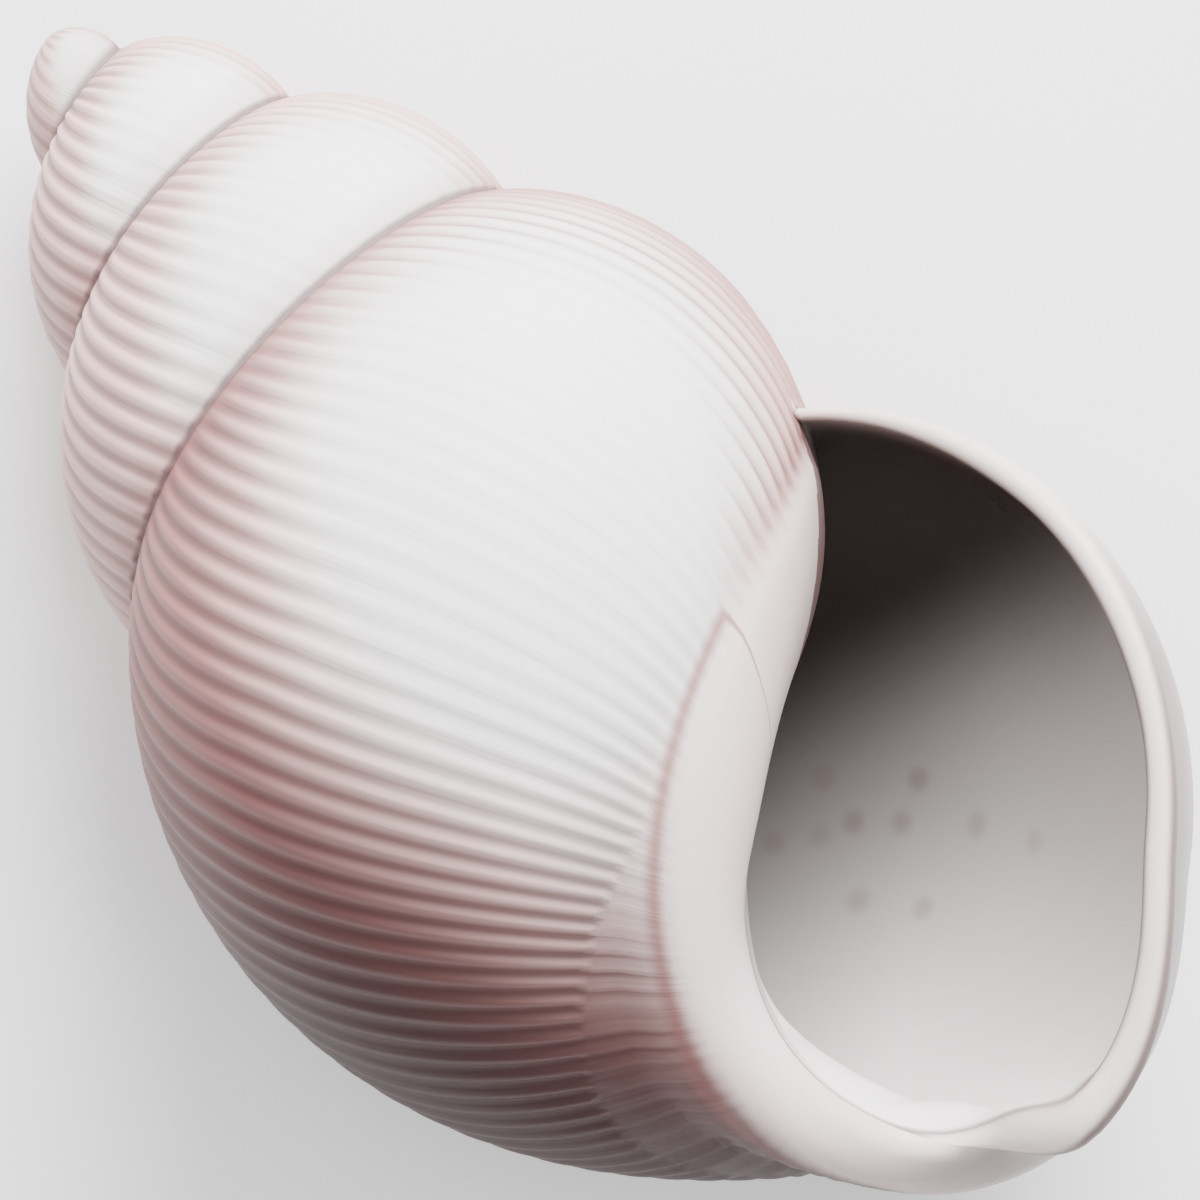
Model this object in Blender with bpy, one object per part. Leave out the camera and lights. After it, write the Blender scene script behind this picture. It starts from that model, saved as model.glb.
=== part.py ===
"""A ribbed spiral seashell, grown as one hollow coil and lying on its back.

The shell is built around its own coiling axis first: z runs down the axis from
the tip, and every column of points is one growth line, from the seam where it
joins the older turn down towards the base.  At the end the finished shell is
turned into its resting pose, with the worn spot it rests on at the origin.
"""

import math

import bpy
import numpy as np

MM = 0.001
TURN = 2.0 * math.pi

# how the shell grows, in millimetres and turns
TURNS = 4.468
WIDTH_SCALE = 44.2
WIDTH_RATE = 1.0904
WIDTH_STEADY = 1.5
DROP_SCALE = 20.9
DROP_RATE = 1.346
DROP_STEADY = 0.5
LAST_DROP = 4.0
LAST_DROP_TURNS = 1.2

# the outline of one turn
BASE_DEPTH = 1.05
BASE_DEPTH_AT_LIP = 0.96
BASE_ROUNDING = 1.056
SEAM_AT_TIP = 0.039
SEAM_AT_BODY = 0.131
SEAM_AT_LIP = 0.359
PILLAR_RADIUS = 3.3

# ribs
RIB_START = 9.5
RIB_GROWTH = 19.0
RIB_LEAN = 0.18
RIB_HEIGHT = 0.1
FIRST_COLUMN = 0.35

# mouth and wall
WALL = 1.6
LIP_SIDE = 1.7
LIP_FOOT = 3.6
LIP_SEAM = 0.8
LIP_BACK = 0.6
LIP_CORNER = 0.14
LIP_CORNER_TURNS = 0.14
BEAD_HEIGHT = 1.3
BEAD_LOW = 2.3
BEAD_AT_LIP = 1.3
BEAD_STEP = 0.35
FOOT_REACH = 10.0
HOLLOW_TURNS = 0.46
RING_STEP = 0.03

# resting pose
VIEW_TILT = math.radians(22.7)
VIEW_LEAN = math.radians(51.1)
MOUTH_TURN = math.radians(77.3)
REST_UP = (0.0, 0.1045, 0.9945)
REST_CUT = 0.75


def ease(t):
    t = np.clip(t, 0.0, 1.0)
    return t * t * (3.0 - 2.0 * t)


def widest(u):
    """Radius and depth of the widest line of the turn after u turns of growth."""
    u = np.maximum(u, 0.0)
    radius = WIDTH_SCALE * (WIDTH_RATE ** u - 1.0) + WIDTH_STEADY * u
    depth = DROP_SCALE * (DROP_RATE ** u - 1.0) + DROP_STEADY * u
    depth = depth + LAST_DROP * ease((u - TURNS + LAST_DROP_TURNS) / LAST_DROP_TURNS)
    return radius, depth


def seam_angle(u):
    """How far round the older turn's underside the seam of turn u sits."""
    spire = SEAM_AT_TIP + (SEAM_AT_BODY - SEAM_AT_TIP) * np.clip((u - 1.0) / (TURNS - 2.0), 0.0, 1.0)
    return spire + (SEAM_AT_LIP - SEAM_AT_BODY) * ease((u - TURNS + 0.6) / 0.6)


def underside(u, angle):
    """Point on the lower half of a turn: angle 0 is the widest line."""
    radius, depth = widest(u)
    share = BASE_DEPTH + (BASE_DEPTH_AT_LIP - BASE_DEPTH) * ease((u - TURNS + 0.35) / 0.35)
    c = np.clip(np.cos(angle), 1e-9, 1.0)
    return radius * c ** BASE_ROUNDING, depth + share * radius * np.sin(angle)


def seam(u):
    radius, depth = underside(u - 1.0, seam_angle(u))
    first = u < 1.0
    return np.where(first, 0.0, radius), np.where(first, 0.0, depth)


def foot_angle(u):
    """Angle on the underside at which the turn reaches the central pillar."""
    radius, _ = widest(u)
    share = np.clip(PILLAR_RADIUS / np.maximum(radius, 1e-6), 0.0, 0.95)
    return np.arccos(share ** (1.0 / BASE_ROUNDING))


def profile(u, s):
    """Turn outline: s 0 to 1 from seam to widest line, s above 1 adds angle below it."""
    rs, zs = seam(u)
    rp, zp = widest(u)
    dr = np.maximum(rp - rs, 1e-6)
    dz = zp - zs
    bow = (dr * dr + dz * dz) / (2.0 * dr)
    start = np.arctan2(-dz, bow - dr)
    angle = start * (1.0 - np.clip(s, 0.0, 1.0))
    top_r = rp - bow + bow * np.cos(angle)
    top_z = zp + bow * np.sin(angle)
    low_r, low_z = underside(u, np.maximum(s - 1.0, 0.0))
    return np.where(s <= 1.0, top_r, low_r), np.where(s <= 1.0, top_z, low_z)


def growth_share(u, s):
    """Share of the whole growth line covered at s, from seam to pillar."""
    rs, zs = seam(u)
    rp, zp = widest(u)
    top = 1.1 * np.hypot(rp - rs, zp - zs)
    low = 0.5 * math.pi * rp
    return (top * np.clip(s, 0.0, 1.0) + low * np.maximum(s - 1.0, 0.0) / (0.5 * math.pi)) / (top + low)


def band_edge(u):
    """Angle on the underside where the smooth band beside the mouth begins."""
    rising = 1.19 - 0.75 * np.exp(-np.maximum(u - TURNS + 1.0, 0.0) / 0.22)
    return rising - 0.45 * ease((u - TURNS + 0.36) / 0.3)


def raised_band(u, s):
    """Thickened band round the inner side and foot of the mouth."""
    t = s - 1.0
    edge = band_edge(u)
    end = foot_angle(u)
    across = np.clip((t - edge) / np.maximum(end - edge, 0.05), 0.0, 1.0)
    fade = ease((u - TURNS + 1.02) / 0.2)
    step = BEAD_STEP * ease((t - edge) / 0.1)
    height = BEAD_HEIGHT + (BEAD_LOW - BEAD_HEIGHT) * ease((u - TURNS + 0.68) / 0.25)
    height = height + (BEAD_AT_LIP - BEAD_LOW) * ease((u - TURNS + 0.25) / 0.25)
    bulge = np.sin(math.pi * across ** 1.4)
    return step * ease((u - TURNS + 1.1) / 0.08) * (1.0 - across) + height * bulge * fade


def place(u, s):
    """Point of the smooth shell surface around the coiling axis."""
    r, z = profile(u, s)
    a = MOUTH_TURN + TURN * (TURNS - u)
    return np.stack([r * np.sin(a), r * np.cos(a), z], axis=-1)


def outward(u, s):
    step = 1e-4
    along = place(u + step, s) - place(u - step, s)
    down = place(u, s + step) - place(u, s - step)
    n = np.cross(along, down)
    size = np.linalg.norm(n, axis=-1, keepdims=True)
    return n / np.maximum(size, 1e-12)


def column_position(v):
    """Number of ribs grown before column v."""
    return RIB_START * v + 0.5 * RIB_GROWTH * v * v


def column_at(count):
    """Column at which that many ribs have grown."""
    root = math.sqrt(RIB_START * RIB_START + 2.0 * RIB_GROWTH * count)
    return (root - RIB_START) / RIB_GROWTH


def lean(v, s):
    """How far a growth line lags behind its seam end, in turns."""
    hold = 1.0 - ease((v - TURNS + 0.55) / 0.55)
    return RIB_LEAN * growth_share(v, s) * hold


def rib(v, s, side):
    """Height of the ribbing: side is +1 on a crest and -1 in a groove."""
    radius, _ = widest(v)
    height = RIB_HEIGHT * TURN * radius / (RIB_START + RIB_GROWTH * v)
    grown = ease((v - 0.8) / 0.8) * (1.0 - ease((v - TURNS + 0.16) / 0.14))
    u = v - lean(v, s)
    near_mouth = 1.0 - ease((s - 1.0 - band_edge(u) + 0.2) / 0.2)
    return side * height * grown * ease(s / 0.15) * near_mouth


def surface_point(v, s, side=0.0):
    u = v - lean(v, s)
    p = place(u, s)
    lift = raised_band(u, s) + rib(v, s, side)
    return p + outward(u, s) * np.asarray(lift)[..., None]


def lip_width(s):
    """Thickness of the rounded lip, seam to foot."""
    side = LIP_SEAM + (LIP_SIDE - LIP_SEAM) * ease(s / 0.7)
    return side + (LIP_FOOT - LIP_SIDE) * ease((s - 1.1) / 0.9)


class Skin:
    """Points and outward faces of the shell."""

    def __init__(self):
        self.points = []
        self.faces = []

    def add(self, p):
        self.points.append([float(p[0]), float(p[1]), float(p[2])])
        return len(self.points) - 1

    def tri(self, a, b, c):
        if a != b and b != c and a != c:
            self.faces.append((a, b, c))

    def quad(self, a, b, c, d):
        pa, pb, pc, pd = (np.array(self.points[k]) for k in (a, b, c, d))
        if np.linalg.norm(pa - pc) <= np.linalg.norm(pb - pd):
            self.tri(a, b, c)
            self.tri(a, c, d)
        else:
            self.tri(a, b, d)
            self.tri(b, c, d)

    def join(self, upper, upper_at, lower, lower_at):
        """Fill the strip between two rows that have their own spacing."""
        i = 0
        j = 0
        while i < len(upper) - 1 or j < len(lower) - 1:
            take_upper = j == len(lower) - 1
            if i < len(upper) - 1 and j < len(lower) - 1:
                take_upper = upper_at[i + 1] + upper_at[i] <= lower_at[j + 1] + lower_at[j]
            if take_upper:
                self.tri(upper[i], upper[i + 1], lower[j])
                i += 1
            else:
                self.tri(upper[i], lower[j + 1], lower[j])
                j += 1


SPIRE_ROWS = (0.0, 0.2, 0.4, 0.6, 0.8, 1.0)
BODY_ROWS = SPIRE_ROWS + (1.0 + 0.5 * SEAM_AT_LIP, 1.0 + SEAM_AT_LIP, 1.56, 1.76, 1.94)
SEAM_ROW = 7
FOOT_STEPS = (0.25, 0.5, 0.75, 1.0)
FOOT_COLUMNS = 40
FOOT_CROWDING = 1.4


def foot_row(v, g):
    """Row position a share g of the way from the last ribbed row to the foot's edge."""
    u = v - lean(v, 1.0 + foot_angle(v))
    near_lip = np.clip(1.0 + (v - TURNS) / LIP_CORNER_TURNS, 0.0, 1.0)
    reach = 1.0 + foot_angle(u) - LIP_CORNER * (1.0 - np.sqrt(1.0 - near_lip * near_lip))
    return BODY_ROWS[-1] + (reach - BODY_ROWS[-1]) * g


def grow_outside(skin):
    """Outer surface, returned as the loop of points round the mouth."""
    split = TURNS - 1.0
    for _ in range(40):
        split = TURNS - 1.0 + float(lean(split, BODY_ROWS[SEAM_ROW]))
    body_count = 2 * int(round(column_position(TURNS) - column_position(split)))
    half_rib = (column_position(TURNS) - column_position(split)) / body_count
    columns = [column_at(column_position(split) + k * half_rib) for k in range(body_count + 1)]
    columns[0] = split
    columns[-1] = TURNS
    body_start = 0
    sides = [1.0 if k % 2 == 0 else -1.0 for k in range(body_count + 1)]
    k = 1
    while column_position(split) - k * half_rib > column_position(FIRST_COLUMN):
        columns.insert(0, column_at(column_position(split) - k * half_rib))
        sides.insert(0, 1.0 if k % 2 == 0 else -1.0)
        body_start += 1
        k += 1

    tip = skin.add(place(np.array(0.0), np.array(0.0)))
    rows = []
    for index, v in enumerate(columns):
        in_body = index >= body_start
        below = 1.0 + 0.5 * float(seam_angle(np.array(v + 1.0 - float(lean(v, 1.0)))))
        heights = BODY_ROWS if in_body else SPIRE_ROWS + (below,)
        line = []
        for row, s in enumerate(heights):
            if row == 0 and v <= 1.0:
                line.append(tip)
            elif in_body and index == body_start and row == SEAM_ROW:
                line.append(-1)
            else:
                line.append(skin.add(surface_point(np.array(v), np.array(s), sides[index])))
        rows.append(line)
    mouth_seam = rows[-1][0]
    rows[body_start][SEAM_ROW] = mouth_seam

    for index in range(len(columns) - 1):
        here = rows[index]
        after = rows[index + 1]
        for row in range(min(len(here), len(after)) - 1):
            skin.quad(here[row], after[row], after[row + 1], here[row + 1])

    # the seam: each turn's lower edge meets the tops of the next turn's columns
    foot_of_spire = len(SPIRE_ROWS)
    upper = [rows[index][foot_of_spire] for index in range(body_start + 1)]
    upper_at = [columns[index] - float(lean(columns[index], 1.0)) for index in range(body_start + 1)]
    tops = [(columns[index] - 1.0, rows[index][0]) for index in range(len(columns)) if columns[index] > 1.0]
    begin = [item for item in tops if item[0] <= upper_at[0]]
    follow = [begin[-1]] + [item for item in tops if item[0] > upper_at[0]]
    first = rows[0]
    skin.join(first, [k / (len(first) - 1.0) for k in range(len(first))],
              [tip] + [item[1] for item in begin],
              [k / float(len(begin)) for k in range(len(begin) + 1)])
    skin.join(upper, upper_at, [item[1] for item in follow], [item[0] for item in follow])

    # the smooth foot, with fewer columns
    shares = [(1.0 - k / FOOT_COLUMNS) ** FOOT_CROWDING for k in range(FOOT_COLUMNS + 1)]
    spread = [TURNS - (TURNS - split) * share for share in shares]
    foot = []
    for v in spread:
        foot.append([skin.add(surface_point(np.array(v), foot_row(np.array(v), g))) for g in FOOT_STEPS])
    skin.join([line[-1] for line in rows[body_start:]], columns[body_start:],
              [line[0] for line in foot], spread)
    for index in range(FOOT_COLUMNS):
        for row in range(len(FOOT_STEPS) - 1):
            skin.quad(foot[index][row], foot[index + 1][row], foot[index + 1][row + 1], foot[index][row + 1])

    # the loop round the mouth: seam, outer lip, foot, inner side, back to the seam
    loop = [(mouth_seam, "lip", 0.0, 0.0)]
    for row in range(1, len(BODY_ROWS)):
        loop.append((rows[-1][row], "lip", BODY_ROWS[row], 0.0))
    for row in range(len(FOOT_STEPS) - 1):
        loop.append((foot[-1][row], "lip", float(foot_row(np.array(TURNS), FOOT_STEPS[row])), 0.0))
    for index in range(FOOT_COLUMNS, -1, -1):
        loop.append((foot[index][-1], "foot", spread[index], shares[index]))
    for row in range(len(FOOT_STEPS) - 2, -1, -1):
        loop.append((foot[0][row], "wall", float(foot_row(np.array(split), FOOT_STEPS[row])), 0.0))
    for row in range(len(BODY_ROWS) - 1, SEAM_ROW, -1):
        loop.append((rows[body_start][row], "wall", BODY_ROWS[row], 0.0))
    return loop, split


def section(u, kind, at, share, split, pillar):
    """Point of the tube's outline u turns into the shell, matched to a loop point."""
    if kind == "lip":
        s = at
        reach = 1.0 + float(foot_angle(np.array(u)))
        s = min(s, reach)
        r, z = profile(np.array(u), np.array(s))
        a = MOUTH_TURN + TURN * (TURNS - u)
    elif kind == "foot":
        back = TURNS - (at - float(lean(np.array(at), 1.0 + foot_angle(np.array(at)))))
        here = u - back
        r = pillar
        _, z = underside(np.array(here), foot_angle(np.array(here)))
        lag = split - float(lean(np.array(split), 1.0 + foot_angle(np.array(split)))) - TURNS + 1.0
        a = MOUTH_TURN + TURN * (TURNS - u - lag * share)
    else:
        lag = split - float(lean(np.array(split), at)) - TURNS + 1.0
        here = u - 1.0 + lag
        end = 1.0 + float(foot_angle(np.array(TURNS - 1.0)))
        low = (at - BODY_ROWS[SEAM_ROW]) / (end - BODY_ROWS[SEAM_ROW])
        seam_here = 1.0 + float(seam_angle(np.array(u)))
        s = seam_here + (1.0 + float(foot_angle(np.array(here))) - seam_here) * low
        r, z = profile(np.array(here), np.array(s))
        a = MOUTH_TURN + TURN * (TURNS - u - lag)
    return np.array([float(r) * math.sin(a), float(r) * math.cos(a), float(z)])


def tube_centre(u):
    radius, depth = widest(np.array(u))
    a = MOUTH_TURN + TURN * (TURNS - u + 0.02)
    return np.array([0.56 * float(radius) * math.sin(a), 0.56 * float(radius) * math.cos(a),
                     float(depth) + 0.2 * float(radius)])


def toward(p, q, amount):
    d = q - p
    size = np.linalg.norm(d)
    return p + d * min(amount, 0.6 * size) / max(size, 1e-9)


def ring_point(item, start, depth, roll):
    """Where a loop point goes on the ring that is depth turns inside."""
    _, kind, at, share, split = item
    u = TURNS - depth
    centre = tube_centre(u)
    settle = float(ease(depth / 0.14))
    pillar = PILLAR_RADIUS * (1.0 + 0.75 * float(ease(depth / 0.3)))
    rolled_in = 0.5 - 0.5 * math.cos(roll)
    rolled_out = 0.5 * math.sin(roll)
    turned = roll / math.pi
    slow = 1.0 - float(ease(depth / 0.3))
    quick = 1.0 - rolled_in
    forward = np.array([-math.cos(MOUTH_TURN), math.sin(MOUTH_TURN), 0.0])
    away = np.array([0.0, -math.cos(VIEW_TILT), -math.sin(VIEW_TILT)])
    apart = start - section(TURNS, kind, at, share, split, pillar)
    if kind == "lip":
        width = float(lip_width(np.array(at)))
        low = float(ease((at - 1.3) / 0.7))
        p = section(u, kind, at, share, split, pillar) + apart * (slow * low + quick * (1.0 - low))
        p = toward(p, centre, rolled_in * width + (WALL - width) * settle)
        return p + forward * min(width, LIP_SIDE) * rolled_out
    if kind == "wall":
        p = section(u - 0.014 * turned, kind, at, share, split, pillar) + apart * (1.0 - turned)
        return toward(p, centre, 0.15 * turned + (WALL - 0.15) * float(ease(depth / 0.3)))
    inner = float(ease((share - 0.85) / 0.15))
    outer = 1.0 - float(ease(share / 0.34))
    width = LIP_BACK + (LIP_FOOT - LIP_BACK) * (1.0 - float(ease(share / 0.3)))
    width = width + (WALL - width) * settle
    blend = max(float(ease((depth - 0.16) / 0.3)), outer, inner)
    p = section(u, kind, at, share, split, pillar) + apart * (slow * (1.0 - inner) + quick * inner)
    near = toward(p, centre, rolled_in * width * (1.0 - inner) + 0.3 * inner * turned)
    near = near + forward * min(width, LIP_SIDE) * rolled_out * (1.0 - inner)
    reach = min(1.2 * turned + 65.0 * depth, FOOT_REACH)
    back = toward(start + away * reach, centre, rolled_in * width * outer + 0.3 * min(1.0, depth / 0.1))
    return back * (1.0 - blend) + near * blend


def grow_hollow(skin, loop, split):
    """Rounded lip and the hollow behind it, closed far inside."""
    start = [np.array(skin.points[item[0]]) for item in loop]
    rings = [(0.0, 0.5 * math.pi), (0.0, 0.86 * math.pi), (0.015, math.pi), (0.04, math.pi)]
    while rings[-1][0] + RING_STEP < HOLLOW_TURNS:
        rings.append((rings[-1][0] + RING_STEP, math.pi))
    ring = [item[0] for item in loop]
    kept = list(range(len(loop)))
    for k, (depth, roll) in enumerate(rings):
        if k == 4:
            kept = [i for i in range(len(loop)) if loop[i][1] != "foot" or (i % 3 == 0)]
        new = [skin.add(ring_point(loop[i] + (split,), start[i], depth, roll)) for i in kept]
        old_at = [i / float(len(ring)) for i in range(len(ring) + 1)]
        if len(new) == len(ring):
            for n in range(len(ring)):
                m = (n + 1) % len(ring)
                skin.quad(ring[m], ring[n], new[n], new[m])
        else:
            new_at = [i / float(len(loop)) for i in kept] + [1.0]
            skin.join(new + [new[0]], new_at, ring + [ring[0]], old_at)
        ring = new
    end = skin.add(tube_centre(TURNS - rings[-1][0] - 0.02))
    for n in range(len(ring)):
        m = (n + 1) % len(ring)
        skin.tri(ring[m], ring[n], end)


def resting_turn():
    """Matrix from the coil's own frame to the resting pose, +X along the coil."""
    tilt_c, tilt_s = math.cos(VIEW_TILT), math.sin(VIEW_TILT)
    lean_c, lean_s = math.cos(VIEW_LEAN), math.sin(VIEW_LEAN)
    across = np.array([lean_s, lean_c, 0.0])
    front = np.array([-tilt_s * lean_c, tilt_s * lean_s, tilt_c])
    down = np.array([tilt_c * lean_c, -tilt_c * lean_s, tilt_s])
    seen = np.stack([across, front, down], axis=1)
    up = np.array(REST_UP) / np.linalg.norm(REST_UP)
    length = down - up * float(down @ up)
    length = length / np.linalg.norm(length)
    side = np.cross(up, length)
    return np.stack([length, side, up], axis=0) @ seen


def build_shell():
    skin = Skin()
    loop, split = grow_outside(skin)
    grow_hollow(skin, loop, split)
    points = np.array(skin.points) @ resting_turn().T
    lowest = points[:, 2].min()
    points[:, 2] = np.maximum(points[:, 2] - lowest, REST_CUT) - REST_CUT
    # two worn spots touch the ground: the origin is on the wider one, nearer the tip
    worn = points[points[:, 2] < 1e-6]
    spot = worn[worn[:, 0] < worn[:, 0].mean()]
    points[:, :2] -= 0.5 * (spot[:, :2].min(axis=0) + spot[:, :2].max(axis=0))
    return points * MM, skin.faces


for thing in list(bpy.data.objects):
    bpy.data.objects.remove(thing, do_unlink=True)

shell_points, shell_faces = build_shell()
mesh = bpy.data.meshes.new("shell")
mesh.from_pydata([tuple(p) for p in shell_points], [], shell_faces)
mesh.update()
shell = bpy.data.objects.new("shell", mesh)
bpy.context.scene.collection.objects.link(shell)

material = bpy.data.materials.new("shell")
material.use_nodes = True
paint = material.node_tree.nodes["Principled BSDF"]
paint.inputs["Base Color"].default_value = (0.80, 0.72, 0.70, 1.0)
paint.inputs["Roughness"].default_value = 0.4
mesh.materials.append(material)
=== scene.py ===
# %% [markdown]
# # A ribbed spiral seashell, lying on its back
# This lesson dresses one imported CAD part, a sea snail's shell, so that it looks like
# the one in the photograph.  A snail adds a thin strip of shell along the edge of its
# mouth, turn after turn, and every strip is a little larger than the last.  So the
# whole shape follows one rule, and the lesson writes that rule down once and lets a
# Geometry Nodes tree grow the shell from it.
#
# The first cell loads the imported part, which fixes the size and the place of all
# that follows.

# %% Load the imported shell
import math

import bpy
import numpy as np
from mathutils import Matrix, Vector
from mathutils.bvhtree import BVHTree


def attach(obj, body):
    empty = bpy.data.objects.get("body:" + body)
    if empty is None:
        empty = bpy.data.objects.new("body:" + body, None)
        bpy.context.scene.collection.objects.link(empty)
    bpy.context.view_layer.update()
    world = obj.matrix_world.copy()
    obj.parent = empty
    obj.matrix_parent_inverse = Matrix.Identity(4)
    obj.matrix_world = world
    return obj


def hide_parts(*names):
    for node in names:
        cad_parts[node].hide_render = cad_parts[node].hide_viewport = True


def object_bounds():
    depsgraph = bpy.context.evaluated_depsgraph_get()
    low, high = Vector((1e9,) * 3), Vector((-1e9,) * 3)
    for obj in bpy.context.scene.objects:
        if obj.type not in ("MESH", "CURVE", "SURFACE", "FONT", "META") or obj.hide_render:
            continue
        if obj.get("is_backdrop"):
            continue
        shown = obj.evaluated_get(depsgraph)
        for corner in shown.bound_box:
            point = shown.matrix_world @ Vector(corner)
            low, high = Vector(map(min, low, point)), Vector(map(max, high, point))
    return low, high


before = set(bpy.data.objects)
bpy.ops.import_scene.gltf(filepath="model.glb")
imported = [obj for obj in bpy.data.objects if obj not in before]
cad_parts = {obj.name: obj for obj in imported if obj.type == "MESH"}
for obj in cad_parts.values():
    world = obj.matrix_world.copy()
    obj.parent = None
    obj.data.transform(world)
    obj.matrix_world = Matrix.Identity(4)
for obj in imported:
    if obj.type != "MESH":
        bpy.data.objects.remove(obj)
CAD_LOW, CAD_HIGH = (np.array(corner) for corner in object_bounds())
print("CAD shell, mm:", np.round((CAD_HIGH - CAD_LOW) * 1000.0, 1))

# %% [markdown]
# ## Sums that can be numbers or nodes
# The growth rule is needed twice: as nodes, to grow the skin, and as plain numbers,
# to line the mouth.  It could be written out twice, but then the two would drift
# apart.  Instead a `Wire` stands for a number inside a node tree: adding or
# multiplying wires draws the Math node that does the same, so one formula serves both.

# %% Wires
class Wire:
    """A number in the node tree that is being drawn."""

    tree = None

    def __init__(self, socket):
        self.socket = socket

    def __add__(self, other):
        return draw("ADD", self, other)

    def __radd__(self, other):
        return draw("ADD", other, self)

    def __sub__(self, other):
        return draw("SUBTRACT", self, other)

    def __rsub__(self, other):
        return draw("SUBTRACT", other, self)

    def __mul__(self, other):
        return draw("MULTIPLY", self, other)

    def __rmul__(self, other):
        return draw("MULTIPLY", other, self)

    def __truediv__(self, other):
        return draw("DIVIDE", self, other)

    def __rtruediv__(self, other):
        return draw("DIVIDE", other, self)


def feed(socket, value):
    """Link a wire to a socket, or set the socket to a plain number."""
    if isinstance(value, Wire):
        Wire.tree.links.new(value.socket, socket)
    else:
        socket.default_value = float(value)


def draw(operation, *values):
    """Draw one Math node and return its result as a wire."""
    node = Wire.tree.nodes.new("ShaderNodeMath")
    node.operation = operation
    for socket, value in zip(node.inputs, values):
        feed(socket, value)
    return Wire(node.outputs[0])


def either(operation, plain):
    """A function that draws a node for wires and does the sum for numbers."""
    def run(*values):
        if any(isinstance(value, Wire) for value in values):
            return draw(operation, *values)
        return plain(*values)
    return run


sine = either("SINE", np.sin)
cosine = either("COSINE", np.cos)
arc_cosine = either("ARCCOSINE", np.arccos)
arc_tangent = either("ARCTAN2", np.arctan2)
power = either("POWER", np.power)
root = either("SQRT", np.sqrt)
growth = either("EXPONENT", np.exp)
larger = either("MAXIMUM", np.maximum)
smaller = either("MINIMUM", np.minimum)
beyond = either("GREATER_THAN", lambda a, b: np.where(np.asarray(a) > b, 1.0, 0.0))


def ease(value, start, end):
    """Smooth step from 0 at start to 1 at end."""
    if not isinstance(value, Wire):
        t = np.clip((value - start) / (end - start), 0.0, 1.0)
        return t * t * (3.0 - 2.0 * t)
    node = Wire.tree.nodes.new("ShaderNodeMapRange")
    node.interpolation_type = "SMOOTHSTEP"
    feed(node.inputs["Value"], value)
    feed(node.inputs["From Min"], start)
    feed(node.inputs["From Max"], end)
    return Wire(node.outputs["Result"])


print("sums ready: 2 + 2 =", larger(2.0 + 2.0, 0.0))

# %% [markdown]
# ## How the shell grows
# `u` counts the turns the shell has grown, and `s` says where on a turn a point is:
# 0 at the seam against the older turn, 1 at the widest line, and above 1 it adds the
# angle round the underside.  The radius and the depth of the widest line both grow by
# a steady share each turn, which is what makes a shell the same shape at every age.
# A hand-drawn spiral curve could be swept instead, but the seam would then not land
# on the turn before it.

# %% The sizes of the growth rule, in millimetres and turns
MM = 0.001
TURN = 2.0 * math.pi
SIZES = {
    "Turns": 4.468,
    "Width scale": 44.2,
    "Width rate": 1.0904,
    "Width steady": 1.5,
    "Drop scale": 20.9,
    "Drop rate": 1.346,
    "Drop steady": 0.5,
    "Last drop": 4.0,
    "Base depth": 1.05,
    "Base depth at lip": 0.96,
    "Base rounding": 1.056,
    "Seam at tip": 0.039,
    "Seam at body": 0.131,
    "Seam at lip": 0.359,
    "Pillar radius": 3.3,
    "Rib start": 9.5,
    "Rib growth": 19.0,
    "Rib lean": 0.18,
    "Rib height": 0.08,
    "Mouth turn": math.radians(77.3),
}
TURNS = SIZES["Turns"]
# Turns before the mouth over which a size changes
LAST_DROP_OVER = (-1.2, 0.0)
SEAM_WIDENS_OVER = (-0.6, 0.0)
BASE_SHORTENS_OVER = (-0.35, 0.0)
WIDEST_PILLAR = 0.95


def widest(u, k):
    """Radius and depth of the widest line of the turn."""
    u = larger(u, 0.0)
    radius = k["Width scale"] * (power(k["Width rate"], u) - 1.0) + k["Width steady"] * u
    depth = k["Drop scale"] * (power(k["Drop rate"], u) - 1.0) + k["Drop steady"] * u
    return radius, depth + k["Last drop"] * ease(u - k["Turns"], *LAST_DROP_OVER)


def seam_angle(u, k):
    """How far round the older turn the seam sits."""
    along = smaller(larger((u - 1.0) / (k["Turns"] - 2.0), 0.0), 1.0)
    spire = k["Seam at tip"] + (k["Seam at body"] - k["Seam at tip"]) * along
    return spire + (k["Seam at lip"] - k["Seam at body"]) * ease(u - k["Turns"], *SEAM_WIDENS_OVER)


def underside(u, angle, k):
    """Point on the lower half of a turn, by its angle below the widest line."""
    radius, depth = widest(u, k)
    shortened = ease(u - k["Turns"], *BASE_SHORTENS_OVER)
    share = k["Base depth"] + (k["Base depth at lip"] - k["Base depth"]) * shortened
    flat = smaller(larger(cosine(angle), 1e-7), 1.0)
    return radius * power(flat, k["Base rounding"]), depth + share * radius * sine(angle)


def seam(u, k):
    radius, depth = underside(u - 1.0, seam_angle(u, k), k)
    started = beyond(u, 0.999999)
    return radius * started, depth * started


def foot_angle(u, k):
    """Angle on the underside where the turn reaches the central pillar."""
    radius, _ = widest(u, k)
    share = smaller(larger(k["Pillar radius"] / larger(radius, 1e-4), 0.0), WIDEST_PILLAR)
    return arc_cosine(power(share, 1.0 / k["Base rounding"]))


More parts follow.
